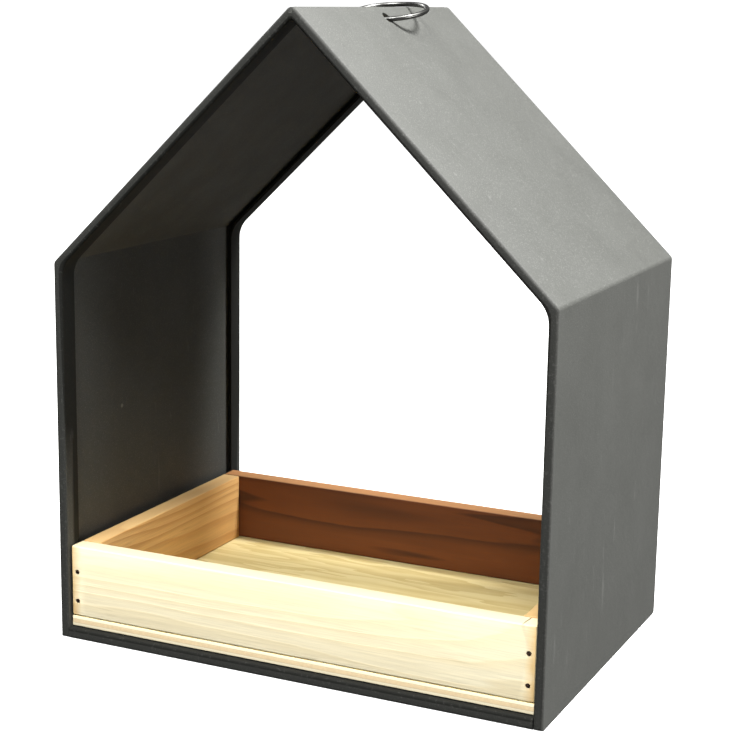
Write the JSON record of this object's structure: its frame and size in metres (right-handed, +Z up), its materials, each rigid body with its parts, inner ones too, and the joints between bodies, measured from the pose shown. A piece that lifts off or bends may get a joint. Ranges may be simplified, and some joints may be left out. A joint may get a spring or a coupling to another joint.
{
  "type": "hanging bird feeder",
  "caption": "Open house-shaped bird feeder of bent dark sheet steel with a gable roof, a loose wooden feeding tray on its floor and a wire hanging ring at the ridge.",
  "frame": {"origin": "the middle of the underside, on the surface that the feeder stands on", "axes": "+Z up, +X to the right across the gable, the front opening faces -Y"},
  "size_m": [0.19, 0.13, 0.2338],
  "materials": {
    "powder_coat": "matt powder coat with a fine grain",
    "pine": "bare sanded pine",
    "plywood": "bare thin plywood",
    "brad_steel": "dark, slightly rusted",
    "hanger_steel": "drawn wire, satin"
  },
  "bodies": {
    "house": {"house_shell": "powder_coat", "floor_plate": "powder_coat"},
    "tray": {"tray_front_board": "pine", "tray_back_board": "pine", "tray_left_board": "pine", "tray_right_board": "pine", "tray_bottom_panel": "plywood", "brad_front_left_low": "brad_steel", "brad_front_left_high": "brad_steel", "brad_front_right_low": "brad_steel", "brad_front_right_high": "brad_steel", "brad_back_left_low": "brad_steel", "brad_back_left_high": "brad_steel", "brad_back_right_low": "brad_steel", "brad_back_right_high": "brad_steel", "panel_brad_front_1": "brad_steel", "panel_brad_front_2": "brad_steel", "panel_brad_back_1": "brad_steel", "panel_brad_back_2": "brad_steel", "panel_brad_left_1": "brad_steel", "panel_brad_left_2": "brad_steel", "panel_brad_right_1": "brad_steel", "panel_brad_right_2": "brad_steel"},
    "hanger": {"hanger_ring": "hanger_steel"}
  },
  "joints": [
    {"name": "tray_slide", "type": "slide", "parent": "house", "child": "tray", "axis": [0, -1, 0], "range_m": [-0.13, 0.125]},
    {"name": "hanger_swing", "type": "hinge", "parent": "house", "child": "hanger", "pos_m": [0, 0, 0.22766], "axis": [1, 0, 0], "range_deg": [0, 156.8]}
  ]
}
